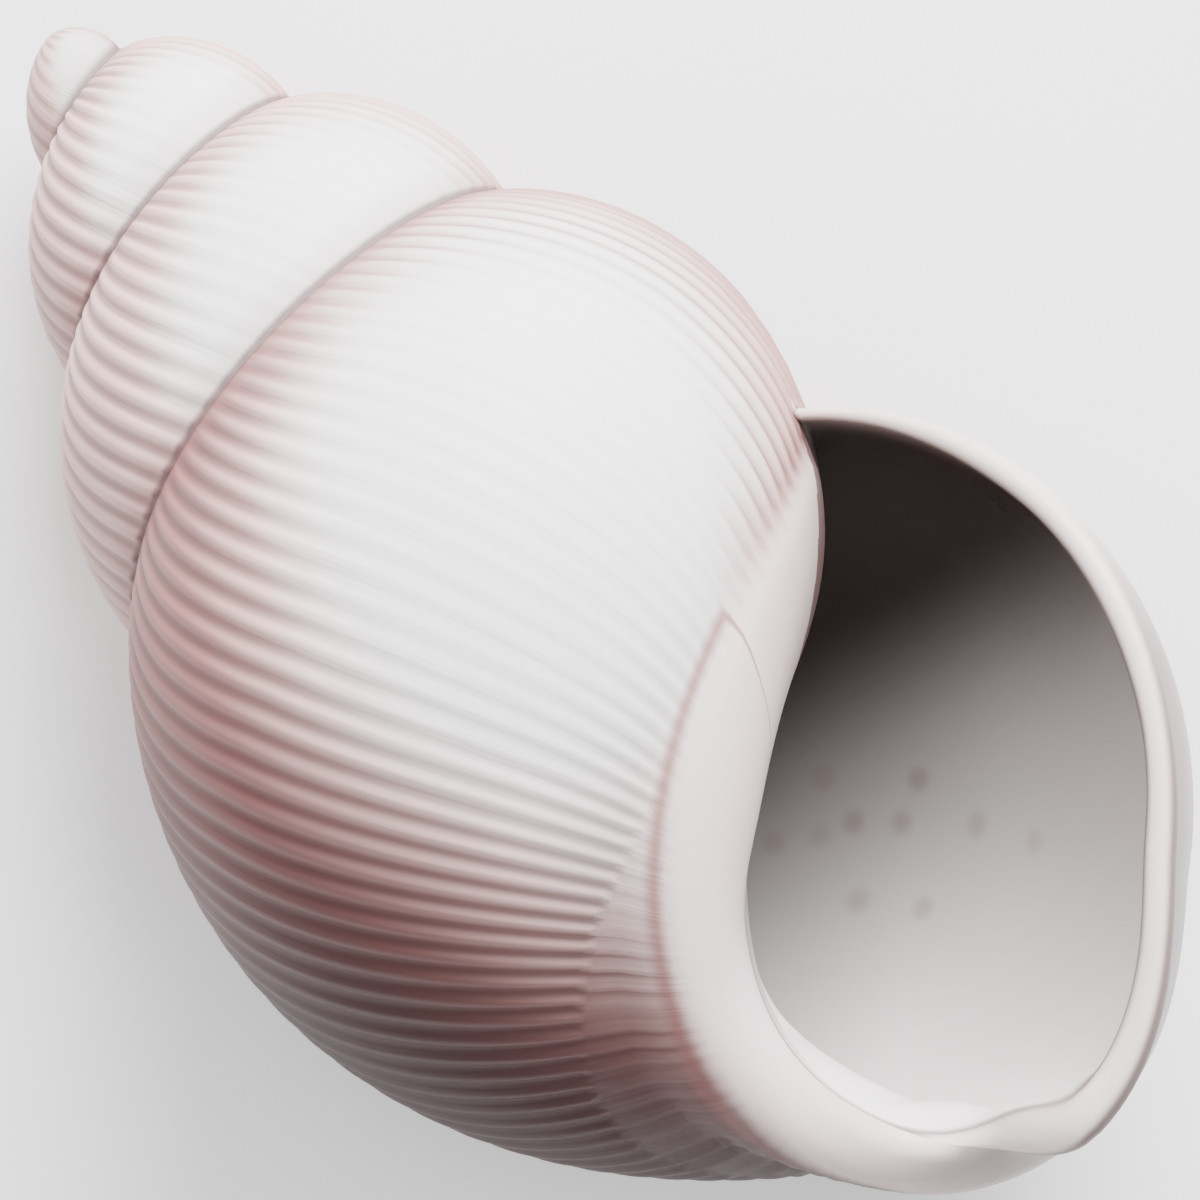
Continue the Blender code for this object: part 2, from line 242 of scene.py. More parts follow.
def profile(u, s, k):
    """Distance from the axis and depth of a point of the turn."""
    seam_r, seam_z = seam(u, k)
    wide_r, wide_z = widest(u, k)
    across = larger(wide_r - seam_r, 1e-5)
    down = wide_z - seam_z
    bow = (across * across + down * down) / (2.0 * across)
    start = arc_tangent(0.0 - down, bow - across)
    angle = start * (1.0 - smaller(s, 1.0))
    upper_r = wide_r - bow + bow * cosine(angle)
    upper_z = wide_z + bow * sine(angle)
    lower_r, lower_z = underside(u, larger(s - 1.0, 0.0), k)
    low = beyond(s, 1.0)
    return upper_r + (lower_r - upper_r) * low, upper_z + (lower_z - upper_z) * low


def place(u, s, k):
    """Point of the smooth shell round its coiling axis, z down from the tip."""
    r, z = profile(u, s, k)
    a = k["Mouth turn"] + TURN * (k["Turns"] - u)
    return r * sine(a), r * cosine(a), z


print("widest line after", TURNS, "turns, mm:", np.round(widest(TURNS, SIZES), 1))

# %% [markdown]
# ## Growth lines, ribs and the smooth band
# The edge of the mouth leans, so a growth line, and the rib that grows on it, lags
# further behind the lower it runs.  A rib is only a wave in the thickness of the shell
# along the growth.  Beside the mouth the snail smooths a thick band over the ribs.
# The ribs could be bump only, but they cut the outline, so they are real relief.

# %% The relief on the growth rule
BEAD_HEIGHT = 1.3
BEAD_LOW = 2.3
BEAD_AT_LIP = 1.3
BEAD_STEP = 0.35
BEAD_CREST = 1.4
BAND_EDGE = 1.19
BAND_EDGE_RISE = 0.75
BAND_EDGE_FADE = 0.22
BAND_EDGE_DIP = 0.45
NO_SEAM = 99.0
BOWED_LENGTH = 1.1
RIBS_ONTO_BAND = 0.12
# Turns before the mouth over which the relief comes and goes
LAG_FADES = (-0.55, 0.0)
EDGE_DIPS = (-0.36, -0.06)
STEP_COMES = (-1.1, -1.02)
STEP_GOES = (-0.3, -0.04)
BAND_COMES = (-1.02, -0.82)
BAND_THICKENS = (-0.68, -0.43)
BAND_THINS = (-0.25, 0.0)
GAP_COUNTS = (-0.98, -0.88)
RIBS_CLIMB = (-0.9, -0.62)
RIBS_DROP = (-0.36, -0.1)
RIBS_FADE = (-0.16, -0.02)
# Stretches across a turn, and the first turns, over which they do
STEP_WIDTH = (0.0, 0.1)
RIB_TAPER = (-0.1, 0.04)
RIBS_FROM_SEAM = (0.0, 0.15)
FIRST_RIBS = (0.8, 1.6)


def top_length(u, k):
    """Length of the growth line from the seam to the widest line."""
    seam_r, seam_z = seam(u, k)
    wide_r, wide_z = widest(u, k)
    out = wide_r - seam_r
    down = wide_z - seam_z
    return BOWED_LENGTH * root(out * out + down * down)


def growth_share(u, s, k):
    """Share of the growth line covered between the seam and s."""
    top = top_length(u, k)
    wide_r, _ = widest(u, k)
    whole = top + 0.5 * math.pi * wide_r
    return (top * smaller(s, 1.0) + wide_r * larger(s - 1.0, 0.0)) / larger(whole, 1e-5)


def lag(v, s, k):
    """Turns by which a growth line lags behind its own seam end."""
    return k["Rib lean"] * growth_share(v, s, k) * (1.0 - ease(v - k["Turns"], *LAG_FADES))


def rib_count(v, k):
    """Ribs grown before the growth line v."""
    return k["Rib start"] * v + 0.5 * k["Rib growth"] * v * v


def band_edge(u, k):
    """Angle on the underside where the smooth band begins."""
    grown_since = larger(u - k["Turns"] + 1.0, 0.0)
    rising = BAND_EDGE - BAND_EDGE_RISE * growth((0.0 - grown_since) / BAND_EDGE_FADE)
    return rising - BAND_EDGE_DIP * ease(u - k["Turns"], *EDGE_DIPS)


def raised_band(u, s, k):
    """Height of the thick smooth band beside and below the mouth."""
    since = u - k["Turns"]
    edge = band_edge(u, k)
    share = smaller(larger((s - 1.0 - edge) / larger(foot_angle(u, k) - edge, 0.05), 0.0), 1.0)
    step = BEAD_STEP * ease(s - 1.0 - edge, *STEP_WIDTH) * (1.0 - share)
    step = step * ease(since, *STEP_COMES) * (1.0 - ease(since, *STEP_GOES))
    height = BEAD_HEIGHT + (BEAD_LOW - BEAD_HEIGHT) * ease(since, *BAND_THICKENS)
    height = height + (BEAD_AT_LIP - BEAD_LOW) * ease(since, *BAND_THINS)
    return step + height * sine(math.pi * power(share, BEAD_CREST)) * ease(since, *BAND_COMES)


def seam_gap(u, s, k):
    """Distance in mm to the nearer seam, above or below."""
    wide_r, _ = widest(u, k)
    under_seam = top_length(u, k) * smaller(s, 1.0) + wide_r * larger(s - 1.0, 0.0)
    over_seam = wide_r * (1.0 + seam_angle(u + 1.0, k) - s)
    return smaller(under_seam, over_seam + NO_SEAM * beyond(u, k["Turns"] - 1.0))


def rib_end(u, k):
    """Angle on the underside where the ribs end, a little way up the band."""
    since = u - k["Turns"]
    climb = ease(since, *RIBS_CLIMB) * (1.0 - ease(since, *RIBS_DROP))
    return band_edge(u, k) + RIBS_ONTO_BAND * climb


def band_gap(u, s, k):
    """Distance in mm past the ends of the ribs, below zero among the ribs."""
    wide_r, _ = widest(u, k)
    without_band = 1.0 - ease(u - k["Turns"], *GAP_COUNTS)
    return wide_r * (s - 1.0 - rib_end(u, k)) - NO_SEAM * without_band


def rib_strength(v, u, s, k):
    """Height of the ribs, before the wave and the wear."""
    radius, _ = widest(v, k)
    height = k["Rib height"] * TURN * radius / (k["Rib start"] + k["Rib growth"] * v)
    grown = ease(v, *FIRST_RIBS) * (1.0 - ease(v - k["Turns"], *RIBS_FADE))
    beside = 1.0 - ease(s - 1.0 - rib_end(u, k), *RIB_TAPER)
    return height * grown * ease(s, *RIBS_FROM_SEAM) * beside


print("ribs in the whole shell:", int(rib_count(TURNS, SIZES)))

# %% [markdown]
# ## The net
# Before anything is grown, the skin is knotted as a flat net.  Each knot only knows
# two numbers, `grown` and `across`, and each column is one growth line.  Along the
# seam the knots of the older turn are tied to those of the younger one, so the skin
# is closed there.  A plain grid node could be used if the seam were left open, but
# then the turns would be loose strips.

# %% Knots and strips
class Net:
    """Knots, each with its growth position, and the faces between them."""

    def __init__(self):
        self.grown = []
        self.across = []
        self.faces = []

    def knot(self, v, s):
        self.grown.append(float(v))
        self.across.append(float(s))
        return len(self.grown) - 1

    def patch(self, *corners):
        kept = [c for i, c in enumerate(corners) if c != corners[i - 1]]
        if len(kept) > 2:
            self.faces.append(tuple(kept))

    def weave(self, rows):
        """Faces between neighbouring columns of knots."""
        for here, after in zip(rows[:-1], rows[1:]):
            for row in range(min(len(here), len(after)) - 1):
                self.patch(here[row], after[row], after[row + 1], here[row + 1])

    def tie(self, upper, upper_at, lower, lower_at):
        """Faces between two rows that have their own spacing."""
        i, j = 0, 0
        while i < len(upper) - 1 or j < len(lower) - 1:
            step_upper = j == len(lower) - 1
            if i < len(upper) - 1 and j < len(lower) - 1:
                step_upper = upper_at[i + 1] + upper_at[i] <= lower_at[j + 1] + lower_at[j]
            if step_upper:
                self.patch(upper[i], upper[i + 1], lower[j])
                i += 1
            else:
                self.patch(upper[i], lower[j + 1], lower[j])
                j += 1


KNOTS_PER_RIB = 6
FIRST_COLUMN = 0.12
SEAM_ROWS = [0.02, 0.05, 0.09, 0.14]
TOP_ROWS = [0.0] + SEAM_ROWS + list(np.linspace(0.2, 1.0, 17))
SEAM_AT_LIP = SIZES["Seam at lip"]
BODY_ROWS = TOP_ROWS + [1.0 + SEAM_AT_LIP * i / 8.0 for i in range(1, 9)]
BODY_ROWS += list(np.linspace(1.4, 1.94, 15))
SEAM_ROW = len(TOP_ROWS) + 7
LIP_CORNER = 0.14
LIP_CORNER_TURNS = 0.14
FOOT_ROWS = 14
FOOT_COLUMNS = 140


def column_at(count, k):
    """Growth line on which that many ribs have grown."""
    start = k["Rib start"]
    return (math.sqrt(start * start + 2.0 * k["Rib growth"] * count) - start) / k["Rib growth"]


split = TURNS - 1.0
for _ in range(40):
    split = TURNS - 1.0 + float(lag(split, BODY_ROWS[SEAM_ROW], SIZES))
FIRST_RIB = float(rib_count(split, SIZES))
body_count = KNOTS_PER_RIB * int(round(rib_count(TURNS, SIZES) - FIRST_RIB))
knot_step = (rib_count(TURNS, SIZES) - FIRST_RIB) / body_count
before = int((FIRST_RIB - rib_count(FIRST_COLUMN, SIZES)) / knot_step)
columns = [column_at(FIRST_RIB + i * knot_step, SIZES) for i in range(-before, body_count + 1)]
columns[before] = split
columns[-1] = TURNS
print("growth lines:", len(columns), "of them on the last turn:", body_count)

# %% Knot the net
net = Net()
tip = net.knot(0.0, 0.0)
rows = []
for index, v in enumerate(columns):
    if index < before:
        below = float(seam_angle(v + 1.0 - lag(v, 1.0, SIZES), SIZES))
        heights = TOP_ROWS + [1.0 + below * share for share in (0.3, 0.6, 0.9)]
    else:
        heights = BODY_ROWS
    line = [tip if (row == 0 and v <= 1.0) else net.knot(v, s) for row, s in enumerate(heights)]
    rows.append(line)
mouth_seam = rows[-1][0]
rows[before][SEAM_ROW] = mouth_seam
net.weave(rows)

edge = [line[-1] for line in rows[:before]] + [rows[before][SEAM_ROW - 1], mouth_seam]
edge_at = []
for v in columns[:before + 1]:
    edge_at.append(v - float(lag(v, 1.0 + float(seam_angle(v + 1.0, SIZES)), SIZES)))
edge_at.append(TURNS - 1.0)
tops = [(v - 1.0, line[0]) for v, line in zip(columns, rows) if v > 1.0]
early = [item for item in tops if item[0] <= edge_at[0]]
late = [early[-1]] + [item for item in tops if item[0] > edge_at[0]]
net.tie(rows[0], [i / (len(rows[0]) - 1.0) for i in range(len(rows[0]))],
        [tip] + [item[1] for item in early], [i / float(len(early)) for i in range(len(early) + 1)])
net.tie(edge, edge_at, [item[1] for item in late], [item[0] for item in late])


def foot_row(v, share):
    """Position across the turn, from the last ribbed row to the pillar."""
    u = v - float(lag(v, 1.0 + float(foot_angle(v, SIZES)), SIZES))
    near_lip = min(max(1.0 + (v - TURNS) / LIP_CORNER_TURNS, 0.0), 1.0)
    rounded = LIP_CORNER * (1.0 - math.sqrt(1.0 - near_lip * near_lip))
    reach = 1.0 + float(foot_angle(u, SIZES)) - rounded
    return BODY_ROWS[-1] + (reach - BODY_ROWS[-1]) * share


spread = [split + (TURNS - split) * i / FOOT_COLUMNS for i in range(FOOT_COLUMNS + 1)]
foot = [[net.knot(v, foot_row(v, (i + 1.0) / FOOT_ROWS)) for i in range(FOOT_ROWS)] for v in spread]
net.tie([line[-1] for line in rows[before:]], columns[before:], [line[0] for line in foot], spread)
net.weave(foot)
print("knots:", len(net.grown), "faces:", len(net.faces))

# %% [markdown]
# ## The growing tree
# The tree reads each knot's two numbers, puts it on the coil, and then lifts it along
# the surface's own normal by the ribs and the band.  The side that lay uppermost on
# the beach has lost most of its ribs.  That side also faces the key light, so the tree
# works out how squarely each place faces it, and how squarely it faces the side away
# from the light, and keeps both for the finish's painted highlight and painted shade.

# %% Build the tree
GROW_INPUTS = dict(SIZES)
GROW_INPUTS["First rib"] = FIRST_RIB
GROW_INPUTS["Wear"] = 0.8
# Facing this side the ribs are worn low, and the finish lays a painted white highlight there.
WEAR_AND_HIGHLIGHT_SIDE = (0.4, 0.911, 0.103)
# The side turned away from the key light, which the finish darkens as painted shade.
SHADE_SIDE_DIRECTION = (-0.798, -0.232, 0.556)
WORN_FROM = (0.6, 0.92)
SMOOTH_FROM = (0.0, 0.08)
SMOOTH_COMES = (-1.1, -1.0)
SMOOTH_LIP = (-0.07, -0.01)

tree = bpy.data.node_groups.new("Grow the shell", "GeometryNodeTree")
tree.interface.new_socket("Geometry", in_out="INPUT", socket_type="NodeSocketGeometry")
for name, value in GROW_INPUTS.items():
    size_socket = tree.interface.new_socket(name, in_out="INPUT", socket_type="NodeSocketFloat")
    size_socket.default_value = value
tree.interface.new_socket("Finish", in_out="INPUT", socket_type="NodeSocketMaterial")
tree.interface.new_socket("Geometry", in_out="OUTPUT", socket_type="NodeSocketGeometry")
Wire.tree = tree


def node(kind, **settings):
    made = tree.nodes.new(kind)
    for name, value in settings.items():
        setattr(made, name, value)
    return made


def stored(name):
    """Wire that reads a number kept on each knot."""
    reader = node("GeometryNodeInputNamedAttribute", data_type="FLOAT")
    reader.inputs["Name"].default_value = name
    return Wire(reader.outputs["Attribute"])


def keep(geometry, name, value):
    """Store a number on each knot, for the finish to read."""
    writer = node("GeometryNodeStoreNamedAttribute", data_type="FLOAT", domain="POINT")
    writer.inputs["Name"].default_value = name
    tree.links.new(geometry, writer.inputs["Geometry"])
    feed(writer.inputs["Value"], value)
    return writer.outputs["Geometry"]


given = node("NodeGroupInput")
sizes = {name: Wire(given.outputs[name]) for name in GROW_INPUTS}
line_v = stored("grown")
line_s = stored("across")
line_u = line_v - lag(line_v, line_s, sizes)

coil = node("ShaderNodeCombineXYZ")
for socket, value in zip(coil.inputs, place(line_u, line_s, sizes)):
    feed(socket, value)
onto_coil = node("GeometryNodeSetPosition")
tree.links.new(given.outputs["Geometry"], onto_coil.inputs["Geometry"])
tree.links.new(coil.outputs[0], onto_coil.inputs["Position"])

facing = node("GeometryNodeInputNormal")


def faces_side(side):
    """How squarely the skin faces a side: 1 straight at it, -1 away from it."""
    turned = node("ShaderNodeVectorMath", operation="DOT_PRODUCT")
    tree.links.new(facing.outputs[0], turned.inputs[0])
    turned.inputs[1].default_value = Vector(side).normalized()
    return Wire(turned.outputs["Value"])


wear_and_highlight = faces_side(WEAR_AND_HIGHLIGHT_SIDE)
shade_side = faces_side(SHADE_SIDE_DIRECTION)
unworn = 1.0 - ease(wear_and_highlight, *WORN_FROM) * sizes["Wear"]
strength = rib_strength(line_v, line_u, line_s, sizes) * unworn
wave = cosine(TURN * (rib_count(line_v, sizes) - sizes["First rib"]))
band = raised_band(line_u, line_s, sizes)
smooth = ease(line_s - 1.0 - rib_end(line_u, sizes), *SMOOTH_FROM)
smooth = smooth * ease(line_u - sizes["Turns"], *SMOOTH_COMES)
smooth = larger(smooth, ease(line_v - sizes["Turns"], *SMOOTH_LIP))

lift = node("ShaderNodeVectorMath", operation="SCALE")
tree.links.new(facing.outputs[0], lift.inputs[0])
feed(lift.inputs["Scale"], band + strength * wave)
kept = keep(onto_coil.outputs["Geometry"], "wear_and_highlight", wear_and_highlight)
kept = keep(kept, "shade_side", shade_side)
kept = keep(kept, "seam_gap", seam_gap(line_u, line_s, sizes))
raise_relief = node("GeometryNodeSetPosition")
tree.links.new(kept, raise_relief.inputs["Geometry"])
tree.links.new(lift.outputs[0], raise_relief.inputs["Offset"])
kept = raise_relief.outputs["Geometry"]
kept = keep(kept, "groove", wave)
kept = keep(kept, "smooth", smooth)
kept = keep(kept, "band_gap", band_gap(line_u, line_s, sizes))

realize = node("GeometryNodeRealizeInstances")
finish_node = node("GeometryNodeSetMaterial")
result = node("NodeGroupOutput")
tree.links.new(kept, realize.inputs["Geometry"])
tree.links.new(realize.outputs["Geometry"], finish_node.inputs["Geometry"])
tree.links.new(given.outputs["Finish"], finish_node.inputs["Material"])
tree.links.new(finish_node.outputs["Geometry"], result.inputs["Geometry"])
print("nodes in the tree:", len(tree.nodes))

# %% [markdown]
# ## Growing the skin
# The flat net becomes a mesh with its two numbers on every knot, and the tree grows it.
# The modifier could stay on the object, but the lip is tied to the grown points next,
# so the grown mesh is taken off it and read back as plain numbers.

# %% Grow the skin
material = bpy.data.materials.new("shell_finish")
flat_net = bpy.data.meshes.new("net")
flat_net.from_pydata([(v, s, 0.0) for v, s in zip(net.grown, net.across)], [], net.faces)
flat_net.attributes.new("grown", "FLOAT", "POINT").data.foreach_set("value", net.grown)
flat_net.attributes.new("across", "FLOAT", "POINT").data.foreach_set("value", net.across)
grower = bpy.data.objects.new("grower", flat_net)
bpy.context.scene.collection.objects.link(grower)
modifier = grower.modifiers.new("Grow", "NODES")
modifier.node_group = tree
sockets = {item.name: item.identifier for item in tree.interface.items_tree if item.in_out == "INPUT"}
for name, value in GROW_INPUTS.items():
    modifier[sockets[name]] = value
modifier[sockets["Finish"]] = material
skin = bpy.data.meshes.new_from_object(grower.evaluated_get(bpy.context.evaluated_depsgraph_get()))
grower.modifiers.clear()
bpy.data.objects.remove(grower)


def numbers(mesh, name):
    values = np.empty(len(mesh.vertices), dtype=np.float32)
    mesh.attributes[name].data.foreach_get("value", values)
    return values


points = np.empty(3 * len(skin.vertices), dtype=np.float32)
skin.vertices.foreach_get("co", points)
points = points.reshape(-1, 3).astype(float)
LINING_MARKS = {
    "wear_and_highlight": 0.0,
    "shade_side": 0.0,
    "seam_gap": NO_SEAM,
    "groove": 0.0,
    "smooth": 1.0,
    "band_gap": NO_SEAM,
}
marks = {name: list(numbers(skin, name)) for name in ["grown", "across"] + list(LINING_MARKS)}
print("skin grown, mm:", np.round(points.max(axis=0) - points.min(axis=0), 1))

# %% [markdown]
# ## The lip and the hollow
# The skin ends in one loop: down the outer lip, back along the foot of the turn, and
# up the older turn to the seam.  The lip is rolled over from that loop, and then the
# loop is carried back into the shell ring by ring, each ring set in from the outside
# by the thickness of the wall.  A Solidify modifier would be simpler, but it would
# thicken the hidden turns too and couldn't roll a lip that changes width.

# %% The loop round the mouth
WALL = 1.6
LIP_SIDE = 1.7
LIP_FOOT = 2.9
LIP_SEAM = 0.8
LIP_BACK = 0.6
FOOT_REACH = 10.0
HOLLOW_TURNS = 0.46
ROLL_RINGS = 8
RING_STEP = 0.0125
VIEW_TILT = math.radians(22.7)
CENTRE_RADIUS = 0.56
CENTRE_DEPTH = 0.2
CENTRE_BEHIND = 0.02
FARTHEST_IN = 0.6
MOUTH_TURN = SIZES["Mouth turn"]
FORWARD = np.array([-math.cos(MOUTH_TURN), math.sin(MOUTH_TURN), 0.0])
AWAY = np.array([0.0, -math.cos(VIEW_TILT), -math.sin(VIEW_TILT)])

loop = [(mouth_seam, "lip", 0.0, 0.0)]
loop += [(rows[-1][row], "lip", BODY_ROWS[row], 0.0) for row in range(1, len(BODY_ROWS))]
for row in range(FOOT_ROWS - 1):
    loop.append((foot[-1][row], "lip", foot_row(TURNS, (row + 1.0) / FOOT_ROWS), 0.0))
loop += [(foot[i][-1], "foot", spread[i], 1.0 - i / FOOT_COLUMNS) for i in range(FOOT_COLUMNS, -1, -1)]
for row in range(FOOT_ROWS - 2, -1, -1):
    loop.append((foot[0][row], "wall", foot_row(split, (row + 1.0) / FOOT_ROWS), 0.0))
loop += [(rows[before][row], "wall", BODY_ROWS[row], 0.0) for row in range(len(BODY_ROWS) - 1, SEAM_ROW, -1)]
print("points round the mouth:", len(loop))


# %% Rings inside the mouth
# Turns inside the mouth over which the lining settles
WALL_SETTLES = (0.0, 0.14)
SHAPE_SETTLES = (0.0, 0.3)
FOOT_JOINS = (0.16, 0.46)
FOOT_SKIN_OVER = 0.1
# Stretches across the turn and along the foot over which the lip changes
SIDE_WIDENS = (0.0, 0.7)
FOOT_WIDENS = (1.4, 2.15)
LIP_FREE = (1.3, 2.0)
FOOT_STARTS = (0.0, 0.34)
FOOT_NARROWS = (0.0, 0.42)
FOOT_ENDS = (0.85, 1.0)
PILLAR_THICKENS = 0.75
WALL_BEHIND = 0.014
WALL_SKIN = 0.15
FOOT_SKIN = 0.3
ROLL_REACH = 1.2
REACH_PER_TURN = 65.0


def around(r, a, z):
    return np.array([float(r) * math.sin(a), float(r) * math.cos(a), float(z)])


def lagged(v, s):
    return v - float(lag(v, s, SIZES))


def tube_centre(u):
    radius, depth = widest(u, SIZES)
    turned = MOUTH_TURN + TURN * (TURNS - u + CENTRE_BEHIND)
    return around(CENTRE_RADIUS * radius, turned, depth + CENTRE_DEPTH * radius)


def toward(p, q, amount):
    d = q - p
    size = max(float(np.linalg.norm(d)), 1e-9)
    return p + d * min(amount, FARTHEST_IN * size) / size


FOOT_LAG = lagged(split, 1.0 + float(foot_angle(split, SIZES))) - TURNS + 1.0
OLDER_FOOT = 1.0 + float(foot_angle(TURNS - 1.0, SIZES))


def section(u, kind, at, share, pillar):
    """Point of the tube's outline u turns into the shell, matched to a loop point."""
    if kind == "lip":
        r, z = profile(u, min(at, 1.0 + float(foot_angle(u, SIZES))), SIZES)
        return around(r, MOUTH_TURN + TURN * (TURNS - u), z)
    if kind == "foot":
        here = u - TURNS + lagged(at, 1.0 + float(foot_angle(at, SIZES)))
        _, z = underside(here, foot_angle(here, SIZES), SIZES)
        return around(pillar, MOUTH_TURN + TURN * (TURNS - u - FOOT_LAG * share), z)
    behind = lagged(split, at) - TURNS + 1.0
    here = u - 1.0 + behind
    low = (at - BODY_ROWS[SEAM_ROW]) / (OLDER_FOOT - BODY_ROWS[SEAM_ROW])
    seam_here = 1.0 + float(seam_angle(u, SIZES))
    s = seam_here + (1.0 + float(foot_angle(here, SIZES)) - seam_here) * low
    r, z = profile(here, s, SIZES)
    return around(r, MOUTH_TURN + TURN * (TURNS - u - behind), z)


def lip_width(s):
    side = LIP_SEAM + (LIP_SIDE - LIP_SEAM) * float(ease(s, *SIDE_WIDENS))
    return side + (LIP_FOOT - LIP_SIDE) * float(ease(s, *FOOT_WIDENS))


start = [points[item[0]] for item in loop]
rings = [(0.0, math.pi * (i + 1.0) / ROLL_RINGS) for i in range(ROLL_RINGS)]
rings += [(RING_STEP * (i + 1.0), math.pi) for i in range(int(HOLLOW_TURNS / RING_STEP))]


def ring_point(number, depth, roll):
    """Where one loop point goes on the ring that is depth turns inside."""
    _, kind, at, share = loop[number]
    u = TURNS - depth
    centre = tube_centre(u)
    settle = float(ease(depth, *WALL_SETTLES))
    settled = float(ease(depth, *SHAPE_SETTLES))
    pillar = SIZES["Pillar radius"] * (1.0 + PILLAR_THICKENS * settled)
    rolled_in = 0.5 - 0.5 * math.cos(roll)
    rolled_out = 0.5 * math.sin(roll)
    turned = roll / math.pi
    slow = 1.0 - settled
    quick = 1.0 - rolled_in
    if kind == "lip":
        width = lip_width(at)
        low = float(ease(at, *LIP_FREE))
        apart = start[number] - section(TURNS, kind, at, share, pillar)
        p = section(u, kind, at, share, pillar) + apart * (slow * low + quick * (1.0 - low))
        p = toward(p, centre, rolled_in * width + (WALL - width) * settle)
        return p + FORWARD * min(width, LIP_SIDE) * rolled_out
    if kind == "wall":
        p = section(u - WALL_BEHIND * turned, kind, at, share, pillar)
        p = toward(p, centre, WALL_SKIN * turned + (WALL - WALL_SKIN) * settled)
        return p + (start[number] - section(TURNS, kind, at, share, pillar)) * (1.0 - turned)
    inner = float(ease(share, *FOOT_ENDS))
    outer = 1.0 - float(ease(share, *FOOT_STARTS))
    width = LIP_BACK + (LIP_FOOT - LIP_BACK) * (1.0 - float(ease(share, *FOOT_NARROWS)))
    width = width + (WALL - width) * settle
    blend = max(float(ease(depth, *FOOT_JOINS)), outer, inner)
    apart = start[number] - section(TURNS, kind, at, share, pillar)
    p = section(u, kind, at, share, pillar) + apart * (slow * (1.0 - inner) + quick * inner)
    near = toward(p, centre, rolled_in * width * (1.0 - inner) + FOOT_SKIN * inner * turned)
    near = near + FORWARD * min(width, LIP_SIDE) * rolled_out * (1.0 - inner)
    reach = min(ROLL_REACH * turned + REACH_PER_TURN * depth, FOOT_REACH)
    set_in = rolled_in * width * outer + FOOT_SKIN * min(1.0, depth / FOOT_SKIN_OVER)
    back = toward(start[number] + AWAY * reach, centre, set_in)
    return back * (1.0 - blend) + near * blend


# %% Line the mouth
FOOT_ACROSS = 2.4
ROLL_COUNTS = 0.15
END_BEHIND = 0.02
lining = []
faces = [tuple(polygon.vertices) for polygon in skin.polygons]
ring = [item[0] for item in loop]
for depth, roll in rings:
    first = len(points) + len(lining)
    for number, item in enumerate(loop):
        lining.append(ring_point(number, depth, roll))
        marks["grown"].append(TURNS - depth)
        marks["across"].append(item[2] if item[1] != "foot" else FOOT_ACROSS)
        for name, value in LINING_MARKS.items():
            marks[name].append(value)
    new = list(range(first, first + len(loop)))
    for i in range(len(ring)):
        j = (i + 1) % len(ring)
        faces.append((ring[j], ring[i], new[i], new[j]))
    ring = new
lining.append(tube_centre(TURNS - rings[-1][0] - END_BEHIND))
marks["grown"].append(TURNS - rings[-1][0])
marks["across"].append(1.0)
for name, value in LINING_MARKS.items():
    marks[name].append(value)
end = len(points) + len(lining) - 1
for i in range(len(ring)):
    faces.append((ring[(i + 1) % len(ring)], ring[i], end))
turns_in = np.zeros(len(points) + len(lining))
ring_turns = [ROLL_COUNTS * roll / math.pi + depth for depth, roll in rings]
turns_in[len(points):-1] = np.repeat(ring_turns, len(loop))
turns_in[-1] = 1.0
all_points = np.vstack([points, np.array(lining)])
print("lining rings:", len(rings), "points:", len(all_points), "faces:", len(faces))

# %% [markdown]
# ## Laying it down
# A shell can't stand on its tip, so it lies on its back where it is steady, on two
# small worn spots.  The turn is worked out from the two angles at which the
# photograph sees the coil, so that the camera can simply look down on it.

VIEW_LEAN = math.radians(51.1)
REST_UP = (0.0, 0.1045, 0.9945)
REST_CUT = 0.75
# Side of the lip turned away from the key light, which the finish darkens as painted shade.
LIP_SHADE_SIDE = np.array([0.98, 0.195, -0.04])
FOOT_IS_RIGHT = 0.5
FOOT_IS_DOWN = 0.87


def seen_turn():
    """Matrix from the coil's own frame to the photograph's: right, up and toward."""
    lean_sine, lean_cosine = math.sin(VIEW_LEAN), math.cos(VIEW_LEAN)
    tilt_sine, tilt_cosine = math.sin(VIEW_TILT), math.cos(VIEW_TILT)
    across = np.array([lean_sine, lean_cosine, 0.0])
    front = np.array([-tilt_sine * lean_cosine, tilt_sine * lean_sine, tilt_cosine])
    down = np.array([tilt_cosine * lean_cosine, -tilt_cosine * lean_sine, tilt_sine])
    return np.stack([across, front, down], axis=1)


def resting_turn():
    """Matrix from the coil's own frame to the resting pose."""
    down = seen_turn()[:, 2]
    up = np.array(REST_UP) / np.linalg.norm(REST_UP)
    length = down - up * float(down @ up)
    length = length / np.linalg.norm(length)
    return np.stack([length, np.cross(up, length), up], axis=0) @ seen_turn()


laid = all_points @ resting_turn().T * MM
low, high = laid.min(axis=0), laid.max(axis=0)
laid[:, 2] = np.maximum(laid[:, 2] - low[2], REST_CUT * MM) - REST_CUT * MM
laid[:, :2] += 0.5 * (CAD_LOW + CAD_HIGH)[:2] - 0.5 * (low + high)[:2]
low, high = laid.min(axis=0), laid.max(axis=0)
print("laid, mm:", np.round((high - low) * 1000.0, 2))
laid = CAD_LOW + (laid - low) * (CAD_HIGH - CAD_LOW) / (high - low)

look = bpy.data.meshes.new("shell_skin")
look.from_pydata([tuple(p) for p in laid], [], faces)
for name, values in marks.items():
    look.attributes.new(name, "FLOAT", "POINT").data.foreach_set("value", values)
look.attributes.new("inside", "FLOAT", "POINT").data.foreach_set("value", turns_in)
seen = all_points @ seen_turn().T
